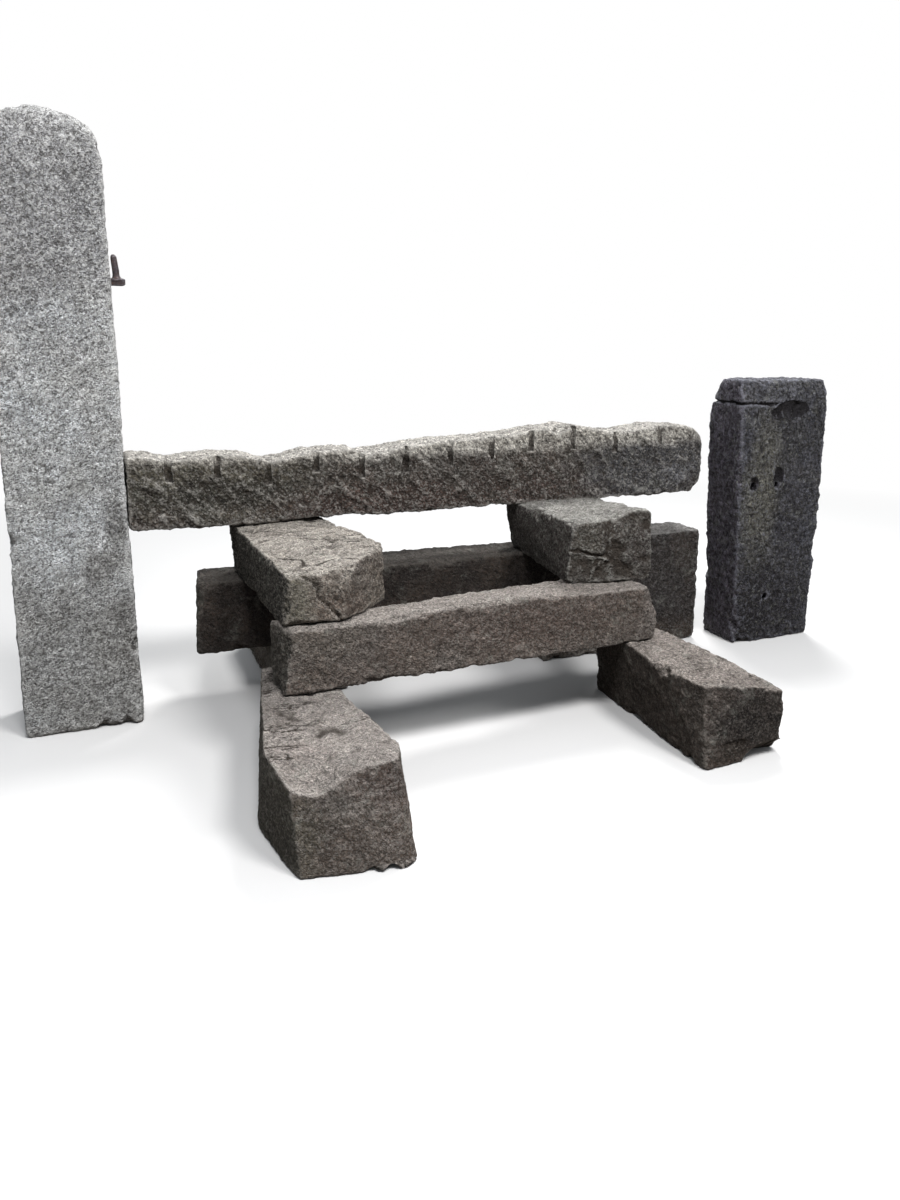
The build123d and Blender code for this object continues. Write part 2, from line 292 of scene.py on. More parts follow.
# holes and half holes left by the drill, one bit at each spot
def drilledTree():
    tree, given = geometryTree("drilled", {
        "Spots": "Object", "Radius": "Float", "Depth": "Float", "Turn": "Vector", "Finish": "Material"})
    spots = addNode(tree, "GeometryNodeObjectInfo", {"Object": given["Spots"]}).outputs["Geometry"]
    length = maths(tree, "MULTIPLY", given["Depth"], 2.0)
    sides = {"Vertices": 14, "Side Segments": 8, "Radius": given["Radius"], "Depth": length}
    bit = addNode(tree, "GeometryNodeMeshCylinder", sides).outputs["Mesh"]
    spread = {"Min": (0.9, 0.9, 0.8), "Max": (1.1, 1.1, 1.1), "Seed": 4}
    stretch = addNode(tree, "FunctionNodeRandomValue", spread, data_type="FLOAT_VECTOR").outputs["Value"]
    placed = {"Points": spots, "Instance": bit, "Rotation": given["Turn"], "Scale": stretch}
    bits = addNode(tree, "GeometryNodeInstanceOnPoints", placed).outputs[0]
    bits = addNode(tree, "GeometryNodeRealizeInstances", {"Geometry": bits}).outputs[0]
    both = {"Mesh 1": given["Geometry"], "Mesh 2": bits}
    cut = addNode(tree, "GeometryNodeMeshBoolean", both, operation="DIFFERENCE", solver="MANIFOLD")
    finished = {"Geometry": cut.outputs["Mesh"], "Material": given["Finish"]}
    shape = addNode(tree, "GeometryNodeSetMaterial", finished).outputs[0]
    addNode(tree, "NodeGroupOutput", {"Geometry": shape})
    return tree


def setInputs(modifier, values):
    for item in modifier.node_group.interface.items_tree:
        if item.item_type == "SOCKET" and item.in_out == "INPUT" and item.name in values:
            modifier[item.identifier] = values[item.name]


def plainMesh(piece):  # the evaluated shape becomes the piece's own mesh, with no modifier left
    bpy.context.view_layer.update()
    evaluated = piece.evaluated_get(bpy.context.evaluated_depsgraph_get())
    mesh = bpy.data.meshes.new_from_object(evaluated)
    old = piece.data
    piece.modifiers.clear()
    piece.data = mesh
    bpy.data.meshes.remove(old)
    mesh.name = piece.name


def throughTree(piece, tree, values):
    modifier = piece.modifiers.new("shaping", "NODES")
    modifier.node_group = tree
    setInputs(modifier, values)
    plainMesh(piece)


def revoxelled(piece, size):
    modifier = piece.modifiers.new("voxels", "REMESH")
    modifier.mode = "VOXEL"
    modifier.voxel_size = size
    plainMesh(piece)


def newPiece(name, mesh):
    piece = bpy.data.objects.new(name, mesh)
    bpy.context.scene.collection.objects.link(piece)
    return piece


def copyOf(node, name):
    mesh = nodes[node].data.copy()
    edit = bmesh.new()
    edit.from_mesh(mesh)
    bmesh.ops.remove_doubles(edit, verts=edit.verts, dist=0.00002)
    edit.to_mesh(mesh)
    edit.free()
    mesh.materials.clear()
    return newPiece(name, mesh)


def withoutSlivers(piece):  # the bit leaves slivers and doubled faces where it meets the skin
    edit = bmesh.new()
    edit.from_mesh(piece.data)
    bmesh.ops.dissolve_degenerate(edit, dist=0.0004, edges=edit.edges)
    bmesh.ops.triangulate(edit, faces=[face for face in edit.faces if len(face.verts) > 3])
    flaps = {}
    for face in edit.faces:
        flaps.setdefault(frozenset(face.verts), []).append(face)
    doubled = [face for flap in flaps.values() if len(flap) > 1 for face in flap]
    bmesh.ops.delete(edit, geom=doubled, context="FACES")
    edit.to_mesh(piece.data)
    edit.free()


def points(mesh):
    flat = np.empty(len(mesh.vertices) * 3)
    mesh.vertices.foreach_get("co", flat)
    return flat.reshape(-1, 3)


def setPoints(mesh, places):
    mesh.vertices.foreach_set("co", places.ravel())
    mesh.update()


# clouds and scoops in space, each from its own seeded table of cells, turned off the stone's own axes;
# each further layer of a cloud is finer and weaker
tilt = np.array([[0.80, -0.48, 0.36], [0.60, 0.64, -0.48], [0.0, 0.60, 0.80]])
cloudRules = {"cells": 24, "finer": 2.03, "shift": 7.3, "weaker": 0.55}
scoopRules = {"cells": 16, "bend": 0.16, "bendSize": 0.7, "uneven": 0.8}


def cloud(places, size, seed, octaves=1):
    cells = cloudRules["cells"]
    table = np.random.default_rng(seed).random((cells, cells, cells)) * 2 - 1
    turned = places @ tilt / size
    total = np.zeros(len(places))
    for octave in range(octaves):
        grid = turned * cloudRules["finer"] ** octave + cloudRules["shift"] * octave
        corner = np.floor(grid).astype(int)
        part = grid - corner
        part = part * part * (3 - 2 * part)
        for step in np.ndindex(2, 2, 2):
            share = np.where(np.array(step) == 1, part, 1 - part).prod(axis=1)
            total += cloudRules["weaker"] ** octave * share * table[tuple(((corner + step) % cells).T)]
    return total


def scoops(places, size, seed):  # shallow bowls that meet in ridges, as a chisel or a split leaves them
    cells = scoopRules["cells"]
    random = np.random.default_rng(seed)
    spots = random.random((cells, cells, cells, 3))
    depths = random.random((cells, cells, cells))
    bends = [cloud(places, size * scoopRules["bendSize"], seed + turn) for turn in (1, 2, 3)]
    grid = (places + scoopRules["bend"] * size * np.stack(bends, axis=1)) @ tilt / size
    corner = np.floor(grid).astype(int)
    lowest = np.full(len(places), 9.0)
    for step in np.ndindex(3, 3, 3):
        cell = corner + step - 1
        key = tuple((cell % cells).T)
        gap = ((cell + spots[key] - grid) ** 2).sum(axis=1)
        lowest = np.minimum(lowest, gap - scoopRules["uneven"] * depths[key])
    return lowest


def easeStep(value, width):
    share = np.clip(value / width * 0.5 + 0.5, 0, 1)
    return share * share * (3 - 2 * share)


def besideLine(flat, line):  # distance from a broken line, positive on its left
    nearest = np.full(len(flat), 9.0)
    signed = np.full(len(flat), 9.0)
    for start, end in zip(line[:-1], line[1:]):
        run = end - start
        along = np.clip((flat - start) @ run / (run @ run), 0, 1)
        away = flat - start - along[:, None] * run
        gap = np.hypot(*away.T)
        side = np.sign(run[0] * (flat - start)[:, 1] - run[1] * (flat - start)[:, 0])
        closer = gap < nearest
        nearest = np.where(closer, gap, nearest)
        signed = np.where(closer, gap * side, signed)
    return signed


# a solid's flat faces without its worn edges and hollows: triangles belong together that turn and reach
# alike, and a face is kept when it is wide enough and hardly anything stands in front of it; lying is the
# upright part of a normal that makes its face a top or a bed
flatRules = {
    "sameTurn": 0.9990, "sameReach": 0.0012, "leastWidth": 0.014, "mostBehind": 0.010, "lying": 0.62}


def flatsOf(mesh):
    corners = points(mesh)
    flats = []
    for face in mesh.polygons:
        normal = np.array(face.normal)
        own = corners[list(face.vertices)]
        reach = normal @ own[0]
        for flat in flats:
            alike = flat["normal"] @ normal > flatRules["sameTurn"]
            if alike and abs(flat["reach"] - reach) < flatRules["sameReach"]:
                flat["area"] += face.area
                flat["corners"].append(own)
                break
        else:
            flats.append({"normal": normal, "reach": reach, "area": face.area, "corners": [own]})
    kept = []
    for flat in flats:
        own = np.concatenate(flat["corners"])
        wide = flat["area"] / np.linalg.norm(own.max(axis=0) - own.min(axis=0)) > flatRules["leastWidth"]
        if wide and (corners @ flat["normal"]).max() < flat["reach"] + flatRules["mostBehind"]:
            kept.append(flat)
    return kept


def sideOf(normal):
    x, y, z = normal
    if abs(z) > flatRules["lying"]:
        return "top" if z > 0 else "bed"
    if abs(x) > abs(y):
        return "left" if x < 0 else "right"
    return "front" if y < 0 else "back"


# what a stone has where its own dictionary says nothing else: sizes of patterns, lumps, grit, the furthest
# pull and the reach of a crack in metres, depths in millimetres; faces holds waves and scars by side
# a cut is a new face, by a spot and the way it looks, and a bite a hollow, by its centre and size; a mound
# rises from the top; a ledge lowers what lies left of its line, or opens a groove along the line where it
# has a width; a seam is a groove through every face
plainStone = {
    "seed": 1, "voxel": 0.0052, "waveSize": 0.26, "scarSize": 0.085, "stretch": (0.6, 1.0, 1.0),
    "slant": 40, "faces": {"other": (5, 4.5), "bed": (2, 1)}, "wobble": 6, "wobbleSize": 0.05,
    "melt": 1.6, "worn": 7, "chips": 9, "chipSize": 0.085, "nickSize": 0.03, "beds": 0, "bedSize": 0.11,
    "cuts": [], "bites": [], "crest": [], "ledges": {}, "mounds": [], "seams": [],
    "lumps": 0.010, "grit": 0.0045, "furthest": 0.03, "crackReach": 0.006}


def patternsFor(places, look):  # what every face of the stone shares
    seed, slant = look["seed"], math.radians(look["slant"])
    along = places[:, 0] * math.cos(slant) - places[:, 2] * math.sin(slant)
    across = places[:, 0] * math.sin(slant) + places[:, 2] * math.cos(slant)
    flow = np.stack([along, places[:, 1], across], axis=1) * look["stretch"]
    scars = scoops(flow, look["scarSize"], seed + 10)
    scars = scars + 0.35 * scoops(flow, look["scarSize"] * 0.42, seed + 20)
    waves = cloud(places, look["waveSize"], seed, 2)
    wobble = look["wobble"] * cloud(places, look["wobbleSize"], seed + 30, 2)
    return {"mm": (places - origin) * 1000, "waves": waves, "scars": scars, "wobble": wobble}


def roughness(side, look, shared):
    wave, scar = look["faces"].get(side, look["faces"]["other"])
    return (wave * shared["waves"] + scar * (shared["scars"] - 0.15)) / 1000


def faceSkin(side, look, places, shared):  # how far a face stands out of its plane, and its open cracks
    mm, wobble = shared["mm"], shared["wobble"]
    skin = roughness(side, look, shared)
    cracks = []
    for ledge in look["ledges"].get(side, ()):
        flat = mm[:, (0, 1)] if side == "top" else mm[:, (0, 2)]
        beside = besideLine(flat, np.array(ledge["line"], float)) + wobble
        if "width" in ledge:
            cracks.append(np.exp(-(beside / ledge["width"]) ** 2))
            skin -= ledge["drop"] / 1000 * cracks[-1]
        else:
            skin -= ledge["drop"] / 1000 * easeStep(beside, ledge.get("ease", 7.0))
    if side == "top":
        for spot, size, rise in look["mounds"]:
            skin += rise / 1000 * np.exp(-(((mm[:, :2] - spot) / size) ** 2).sum(axis=1))
    for seam in look["seams"]:
        beside = (mm - seam["spot"]) @ np.array(seam["normal"]) + wobble * 0.6
        ends = easeStep(seam["until"] - mm[:, 0], 60.0)
        cracks.append(ends * np.exp(-(beside / seam["width"]) ** 2))
        skin -= seam["drop"] / 1000 * cracks[-1]
    if side == "top" and look["beds"]:
        layers = cloud(places * (0.45, 1.0, 3.0), look["bedSize"], look["seed"] + 40, 3) * 3
        skin -= look["beds"] / 1000 * (np.floor(layers) + easeStep(layers - np.floor(layers) - 0.9, 0.1))
    return skin, cracks


# two faces meet in an arris when the cosine between them lies within these, and corners of the solid
# lie near both
arrisRules = {"sharpest": -0.75, "bluntest": 0.82, "near": 0.018}


def addArrises(look, flatCount, normals, reaches, skins, loss):
    corners, plain = look["corners"], len(normals)

    def touches(number):
        return np.abs(corners @ normals[number] - reaches[number]) < arrisRules["near"]

    for first in range(plain):
        for second in range(first):
            facing = normals[first] @ normals[second]
            if not arrisRules["sharpest"] < facing < arrisRules["bluntest"]:
                continue
            reach = reaches[first] + reaches[second]
            if look["crest"] and plain - 1 in (first, second):
                reach = reach + skins[plain - 1]
            elif first < flatCount and second < flatCount and (touches(first) & touches(second)).sum() < 2:
                continue
            both = normals[first] + normals[second]
            length = np.linalg.norm(both)
            normals.append(both / length)
            reaches.append(0.0)
            skins.append(reach / length - loss * (1.1 - 0.5 * facing))


def bite(places, spot, size, scars):  # pushes the skin out of a rough hollow
    away = (places - at(*spot)) / (np.array(size) / 1000)
    far = np.maximum(np.linalg.norm(away, axis=1), 0.001) + 0.10 * scars
    inside = far < 1
    push = away / (np.array(size) / 1000)
    push /= np.linalg.norm(push, axis=1)[:, None]
    places[inside] += (push * (1 - far)[:, None] * min(size) / 1000)[inside]


def splitStone(piece, flats, look, turns):  # moves the skin onto rough faces that meet in chipped arrises
    places = points(piece.data)
    shared = patternsFor(places, look)
    normals, reaches, skins, grooves = [], [], [], []
    cuts = [(np.array(turn) / np.linalg.norm(turn), at(*spot)) for spot, turn in look["cuts"]]
    planes = [(flat["normal"], flat["reach"]) for flat in flats]
    if look["crest"]:
        planes = [(normal, reach) for normal, reach in planes if sideOf(normal) != "top"]
    for normal, reach in planes + [(normal, normal @ spot) for normal, spot in cuts]:
        skin, cracks = faceSkin(sideOf(normal), look, places, shared)
        grooves += [(len(normals), crack) for crack in cracks]
        normals.append(normal)
        reaches.append(reach)
        skins.append(skin)
    if look["crest"]:
        line = np.array(look["crest"], float)
        crest = np.interp(shared["mm"][:, 0], line[:, 0], line[:, 1]) / 1000
        normals.append(np.array([0.0, 0.0, 1.0]))
        reaches.append(0.0)
        skins.append(crest + roughness("top", look, shared))

    # every arris is worn back a little, and chipped deeper in places
    chip = np.maximum(cloud(places, look["chipSize"], look["seed"] + 50, 2) - 0.18, 0) * 2.2
    chip = chip + np.maximum(cloud(places, look["nickSize"], look["seed"] + 60) - 0.1, 0)
    wear = 0.25 + 0.15 * shared["wobble"] / look["wobble"]
    loss = look["worn"] / 1000 * wear + look["chips"] / 1000 * chip
    addArrises(look, len(flats), normals, reaches, skins, loss)

    normals, reaches = np.array(normals), np.array(reaches)
    skins = np.stack(skins, axis=1)
    melt = look["melt"] / 1000
    for turn in range(turns):
        stand = places @ normals.T - reaches - skins
        top = stand.max(axis=1)
        share = np.exp(np.maximum((stand - top[:, None]) / melt, -30))
        whole = share.sum(axis=1)
        depth = top + melt * np.log(whole)
        pull = share @ normals / whole[:, None]
        steps = np.clip(depth / (pull ** 2).sum(axis=1), -look["furthest"], look["furthest"])
        places -= pull * steps[:, None]
        for spot, size in look["bites"]:
            bite(places, spot, size, shared["scars"])
    setPoints(piece.data, places)

    # the finish darkens the cracks from this
    dark = np.zeros(len(places))
    for number, groove in grooves:
        dark = np.maximum(dark, groove * np.exp(-(stand[:, number] / look["crackReach"]) ** 2))
    kept = piece.data.attributes.get("groove") or piece.data.attributes.new("groove", "FLOAT", "POINT")
    kept.data.foreach_set("value", dark)


stoneSkin = stoneSkinTree()
drilled = drilledTree()


def faceSpot(piece, drill, spot):  # where the bit stood, from the stone's own face below its mouth
    place = at(*spot)
    inFront = at(spot[0], spot[1] - 150, spot[2] - drill["below"])
    hit, found, normal, face = piece.ray_cast(inFront, (0, 1, 0))
    if hit:
        place[1] = found[1] + drill["inside"] / 1000
    return place


def drillInto(piece, drill, finish):
    spots = bpy.data.meshes.new("spots")
    spots.from_pydata([faceSpot(piece, drill, spot) for spot in drill["spots"]], [], [])
    marker = newPiece("spots", spots)
    sizes = {"Radius": drill["radius"] / 1000, "Depth": drill["depth"] / 1000, "Turn": drill["turn"]}
    throughTree(piece, drilled, {"Spots": marker, "Finish": finish, **sizes})
    bpy.data.objects.remove(marker)
    bpy.data.meshes.remove(spots)
    withoutSlivers(piece)


def roughStone(node, given):  # a copy of the solid, carved in a coarse pass and then in a fine one
    look = {**plainStone, **given}
    piece = copyOf(node, look["name"])
    finish = graniteFinish(look["name"] + "Granite", {**plainGranite, **look["granite"]})
    look["corners"] = points(piece.data)
    flats = flatsOf(piece.data)
    for voxel, turns in ((look["voxel"] * 1.7, 7), (look["voxel"], 3)):
        revoxelled(piece, voxel)
        splitStone(piece, flats, look, turns)
    if "drill" in look:
        drillInto(piece, look["drill"], finish)
    skin = {"Lumps": look["lumps"], "Grit": look["grit"], "Seed": float(look["seed"]), "Finish": finish}
    throughTree(piece, stoneSkin, skin)

    # nothing stands out of the solids' box
    inset = 0.0005
    lowest, highest = np.array(cadBox[0]) + (inset, inset, 0.0), np.array(cadBox[1]) - inset
    setPoints(piece.data, np.clip(points(piece.data), lowest, highest))
    piece.data.shade_smooth()
    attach(piece, "root")
    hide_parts(node)
    triangles = sum(len(face.vertices) - 2 for face in piece.data.polygons)
    print(look["name"], "shaped,", len(flats), "faces,", triangles, "triangles")


# the rail, split off along its drilled holes; crest is x and z along its top
rail = {
    "name": "topRail", "slot": "brown_granite", "seed": 4, "voxel": 0.0058, "scarSize": 0.060,
    "stretch": (0.5, 1.0, 1.0), "slant": 48,
    "faces": {"front": (8, 15), "top": (3, 4), "back": (6, 8), "bed": (4, 5), "other": (3, 3)},
    "worn": 7, "chips": 9, "melt": 2.4, "lumps": 0.009,
    "crest": [
        (-40, 928), (60, 922), (126, 903), (200, 911), (283, 916), (345, 918), (419, 902), (471, 886),
        (540, 898), (626, 913), (774, 918), (815, 898), (880, 904), (962, 914), (1097, 929), (1332, 940),
        (1440, 944), (1529, 958), (1676, 972), (1760, 960), (1861, 938), (1980, 942), (2099, 958),
        (2230, 952), (2285, 930), (2325, 890)],
    "drill": {
        "radius": 14, "depth": 88, "turn": (0, 0, 0), "below": 55, "inside": 6,
        "spots": [
            (125, 0, 905), (287, 0, 912), (463, 0, 890), (637, 0, 911), (808, 0, 899), (982, 0, 916),
            (1160, 0, 930), (1331, 0, 938), (1500, 0, 952), (1681, 0, 964), (1884, 0, 936),
            (2095, 0, 954)]},
    "granite": {
        "shift": (0, 2, 4), "warm": (0.072, 0.054, 0.047), "cool": (0.068, 0.060, 0.053),
        "pale": (0.648, 0.620, 0.578), "stain": 0.3, "streaks": 0.42, "slant": 48, "mottle": 0.66,
        "crystals": 0.38, "edges": 0.35, "hollowDirtAndShade": 0.7, "speckle": 0.3,
        "zones": [
            ((240, 0, 850), (420, 260, 170), (0.120, 0.112, 0.082), 0.7),
            ((290, 0, 775), (330, 220, 60), (0.020, 0.020, 0.016), 0.75),
            ((900, 0, 720), (420, 260, 75), (0.072, 0.040, 0.032), 0.7),
            ((1560, 0, 720), (330, 260, 75), (0.068, 0.043, 0.036), 0.55),
            ((2080, 0, 800), (380, 300, 220), (0.085, 0.088, 0.098), 0.85),
            ((2210, 0, 750), (90, 120, 45), (0.24, 0.245, 0.27), 0.6),
            # painted highlight on the rail's lit top strip
            ((1150, 0, 925), (1700, 300, 52), (0.66, 0.63, 0.57), 0.85)]}}
roughStone("top_rail", rail)

# the left gatepost: pale, coarse and rounded by weather
leftPost = {
    "name": "leftGatepost", "slot": "pale_granite", "seed": 2, "voxel": 0.0068, "waveSize": 0.34,
    "scarSize": 0.070, "melt": 3, "stretch": (1.0, 1.0, 0.8), "slant": 0,
    "faces": {"right": (5, 2), "top": (3, 3), "other": (9, 4)}, "worn": 11, "chips": 12, "lumps": 0.008,
    "grit": 0.006,
    "granite": {
        "shift": (3, 1, 7), "warm": (0.683, 0.691, 0.692), "cool": (0.732, 0.761, 0.792),
        "pale": (0.86, 0.86, 0.85), "mottle": 0.58, "clumps": 190, "streaks": 0.22, "slant": -35,
        "stain": 0.35, "stainTone": (0.24, 0.23, 0.21), "washedAndLit": 0.4, "blackLichen": 0.6, "flecks": 0.7,
        "crystals": 0.6, "speckle": 0.45, "hollowDirtAndShade": 0.6, "dirtAndShade": (0.085, 0.08, 0.072),
        "lichenTone": (0.66, 0.67, 0.64),
        "zones": [
            ((-210, -70, 250), (330, 400, 330), (0.25, 0.24, 0.22), 0.6),
            ((-210, -70, 1750), (420, 400, 480), (0.27, 0.27, 0.28), 0.75),
            ((-60, -70, 700), (40, 90, 90), (0.11, 0.105, 0.10), 0.7),
            ((-130, -70, 560), (60, 120, 60), (0.14, 0.13, 0.12), 0.6),
            ((-30, -70, 330), (70, 120, 140), (0.13, 0.12, 0.11), 0.55)]}}
roughStone("left_gatepost", leftPost)

# the right gatepost: darker, drilled, with a broken cap and a hollow under it
rightPost = {
    "name": "rightGatepost", "slot": "lichened_granite", "seed": 3, "voxel": 0.0060, "waveSize": 0.3,
    "melt": 2.5, "slant": 75, "faces": {"left": (5, 4), "front": (6, 5), "other": (5, 4)}, "worn": 8,
    "chips": 9, "lumps": 0.011,
    "seams": [
        {"spot": (2447, -140, 1044), "normal": (0.05, 0.0, 1.0), "width": 5, "drop": 13, "until": 2590}],
    "bites": [
        ((2650, -152, 1016), (98, 62, 38)), ((2585, -150, 1004), (50, 40, 26)),
        ((2612, -156, 738), (32, 34, 52)), ((2514, -150, 862), (24, 16, 36)),
        ((2482, -150, 712), (22, 20, 34))],
    "drill": {
        "radius": 16, "depth": 60, "turn": (math.pi / 2, 0, 0), "below": 0, "inside": 0,
        "spots": [(2481, -140, 699), (2605, -140, 699), (2597, -140, 206)]},
    "granite": {
        "shift": (1, 5, 2), "warm": (0.060, 0.060, 0.062), "cool": (0.064, 0.066, 0.081),
        "pale": (0.300, 0.306, 0.361), "slant": 80, "streaks": 0.50, "mottle": 0.72, "stain": 0.55,
        "stainTone": (0.085, 0.078, 0.075), "leftShade": 0.8, "leftShadeTone": (0.126, 0.112, 0.141),
        "lichen": 0.30, "speckle": 0.40, "crystals": 0.32, "washedAndLit": 0.5, "hollowDirtAndShade": 0.9,
        "dirtAndShade": (0.018, 0.016, 0.019), "patches": 0.4,
        "zones": [
            ((2530, -140, 690), (95, 120, 330), (0.165, 0.160, 0.132), 0.8),
            ((2560, -140, 120), (320, 280, 230), (0.016, 0.014, 0.018), 0.9),
            # painted shade: near black in the hollows under the cap and lower down, and in the drill holes
            ((2618, -110, 1000), (84, 70, 34), (0.010, 0.009, 0.012), 0.95),
            ((2610, -130, 728), (36, 50, 52), (0.016, 0.018, 0.018), 0.9),
            ((2482, -130, 705), (24, 40, 30), (0.014, 0.012, 0.015), 0.9),
            ((2597, -120, 206), (30, 50, 28), (0.012, 0.011, 0.014), 0.9),
            ((2700, -150, 500), (70, 80, 300), (0.050, 0.048, 0.055), 0.6)]}}
roughStone("right_gatepost", rightPost)

# the left high step: pale cracked top, a slanting fracture on its front, and a smooth left side in painted
# shade
leftHigh = {
    "name": "leftHighStep", "slot": "buff_granite", "seed": 5, "voxel": 0.0050, "waveSize": 0.22,
    "slant": 35,
    "faces": {"top": (3, 2), "left": (4, 1.5), "front": (6, 5), "bed": (2, 1), "other": (5, 5)},
    "beds": 0.7, "worn": 4, "chips": 5,
    "ledges": {
        "top": [
            {"drop": 2, "line": [
                (640, -590), (599, -554), (549, -544), (495, -565), (466, -568), (458, -498),
                (433, -456), (340, -400)]},
            {"drop": 5, "width": 5, "line": [
                (660, -590), (599, -550), (549, -540), (495, -562), (466, -562), (458, -498),
                (433, -456), (385, -420)]},
            {"drop": 6, "width": 5, "line": [
                (490, -240), (514, -253), (575, -303), (625, -334), (651, -371), (700, -365)]}],
        "front": [
            {"drop": -11, "ease": 13, "line": [
                (400, 650), (458, 612), (482, 586), (480, 562), (510, 528), (550, 484), (590, 430)]}]},
    "cuts": [((735, -470, 640), (0.55, -0.42, 0.72)), ((560, -640, 585), (0.35, -0.80, 0.50))],
    "granite": {
        "shift": (7, 2, 1), "warm": (0.218, 0.184, 0.149), "cool": (0.209, 0.180, 0.159),
        "pale": (0.536, 0.496, 0.445), "slant": 35, "mottle": 0.50, "clumps": 165, "cracks": 0.8,
        "crackTurn": -8, "leftShade": 0.92, "leftShadeTone": (0.019, 0.020, 0.016),
        "zones": [
            ((400, -620, 560), (70, 90, 120), (0.185, 0.180, 0.137), 0.6),
            ((560, -600, 520), (120, 90, 60), (0.148, 0.104, 0.083), 0.5)]}}
roughStone("left_high_step", leftHigh)

# the right high step: scalloped front edge and a curved scar on its front
rightHigh = {
    "name": "rightHighStep", "slot": "brown_granite", "seed": 6, "voxel": 0.0050, "waveSize": 0.2,
    "slant": 35,
    "faces": {"top": (5, 4), "left": (5, 1.5), "front": (5, 4), "bed": (2, 1), "other": (5, 5)},
    "chips": 11, "bites": [((1398, -352, 672), (30, 30, 28))],
    "mounds": [((1535, -530), (50, 60), -9), ((1658, -540), (42, 90), 15), ((1560, -380), (60, 40), -6)],
    "ledges": {
        "front": [
            {"drop": 13, "width": 9, "line": [(1395, 592), (1452, 584), (1500, 574), (1552, 554)]},
            {"drop": 6, "line": [(1560, 640), (1556, 560), (1500, 520), (1480, 460)]}]},
    "granite": {
        "shift": (2, 8, 3), "warm": (0.074, 0.065, 0.058), "cool": (0.070, 0.064, 0.061),
        "pale": (0.424, 0.415, 0.386), "leftShade": 0.85, "leftShadeTone": (0.067, 0.056, 0.051), "speckle": 0.42,
        "hollowDirtAndShade": 0.7,
        "zones": [
            ((1470, -548, 600), (80, 90, 130), (0.089, 0.083, 0.068), 0.6),
            ((1700, -500, 560), (70, 120, 160), (0.049, 0.041, 0.043), 0.5)]}}
roughStone("right_high_step", rightHigh)

# the front bearer: coarse brown face, bumpy pale top between the high steps, rounded right end
frontBearer = {
    "name": "frontBearer", "slot": "brown_granite", "seed": 7, "voxel": 0.0052, "waveSize": 0.24,
    "slant": 35, "faces": {"top": (5, 4), "front": (5, 5), "bed": (3, 3), "other": (5, 4)}, "melt": 1.8,
    "chips": 8, "mounds": [((880, -600), (130, 90), 12), ((1150, -600), (190, 110), 22)],
    "cuts": [((1672, -560, 470), (0.72, 0.0, 0.69)), ((1700, -600, 300), (0.9, -0.1, -0.42))],
    "granite": {
        "shift": (5, 5, 1), "warm": (0.177, 0.140, 0.119), "cool": (0.169, 0.146, 0.130),
        "pale": (0.422, 0.383, 0.352), "leftShade": 0.88, "leftShadeTone": (0.045, 0.043, 0.034), "slant": 35,
        "streaks": 0.26, "mottle": 0.50, "clumps": 160,
        "zones": [
            ((1150, -650, 400), (420, 160, 90), (0.140, 0.100, 0.084), 0.55),
            ((460, -670, 440), (160, 120, 60), (0.185, 0.164, 0.139), 0.5),
            ((1680, -560, 420), (60, 200, 120), (0.247, 0.224, 0.210), 0.5)]}}
roughStone("front_bearer", frontBearer)

# the back bearer, in deep shade behind the rail, with that shade painted into its dark tones
backBearer = {
    "name": "backBearer", "slot": "dark_granite", "seed": 8, "voxel": 0.0090,
    "faces": {"other": (4, 3), "bed": (2, 1)},
    "granite": {
        "shift": (4, 1, 6), "warm": (0.021, 0.015, 0.013), "cool": (0.019, 0.015, 0.015),
        "pale": (0.112, 0.101, 0.090), "crystals": 0.2, "speckle": 0.05, "leftShade": 0.7}}
roughStone("back_bearer", backBearer)

# the left low step: cracked top with a worn dip at its front edge, the front leaning back
leftLow = {
    "name": "leftLowStep", "slot": "buff_granite", "seed": 9, "voxel": 0.0052, "waveSize": 0.22,
    "slant": 50,
    "faces": {"top": (4, 1), "left": (4, 1.2), "front": (4, 4), "bed": (2, 1), "other": (5, 4)},
    "beds": 0.8, "worn": 4, "melt": 1.5, "chips": 6, "lumps": 0.007, "grit": 0.0035,
    "bites": [((500, -1246, 0), (75, 44, 20))],
    "ledges": {
        "top": [
            {"drop": 5, "width": 5, "line": [
                (120, -820), (228, -825), (249, -862), (283, -890), (360, -900)]},
            {"drop": 5, "width": 5, "line": [(130, -975), (243, -984), (275, -983), (345, -990)]},
            {"drop": 6, "line": [(520, -940), (430, -1010), (360, -1060), (280, -1050), (180, -1000)]}]},
    "mounds": [((315, -1200), (85, 120), -54), ((400, -965), (90, 60), -7), ((520, -1120), (60, 90), 8)],
    "granite": {
        "shift": (6, 3, 8), "warm": (0.144, 0.114, 0.096), "cool": (0.136, 0.120, 0.106),
        "pale": (0.449, 0.410, 0.380), "leftShade": 0.90, "leftShadeTone": (0.080, 0.077, 0.061), "slant": 50,
        "mottle": 0.56, "clumps": 200, "cracks": 1.0, "crackTurn": -12, "hollowDirtAndShade": 0.30,
        "blackLichen": 0.15, "flecks": 0.45, "stain": 0.55, "stainTone": (0.100, 0.070, 0.054),
        "footTop": 0.0,
        "zones": [
            ((265, -1240, 120), (60, 90, 160), (0.152, 0.140, 0.106), 0.6),
            ((500, -1200, 215), (90, 90, 60), (0.089, 0.061, 0.053), 0.55),
            ((320, -1010, 275), (70, 60, 40), (0.252, 0.191, 0.170), 0.6)]}}
roughStone("left_low_step", leftLow)

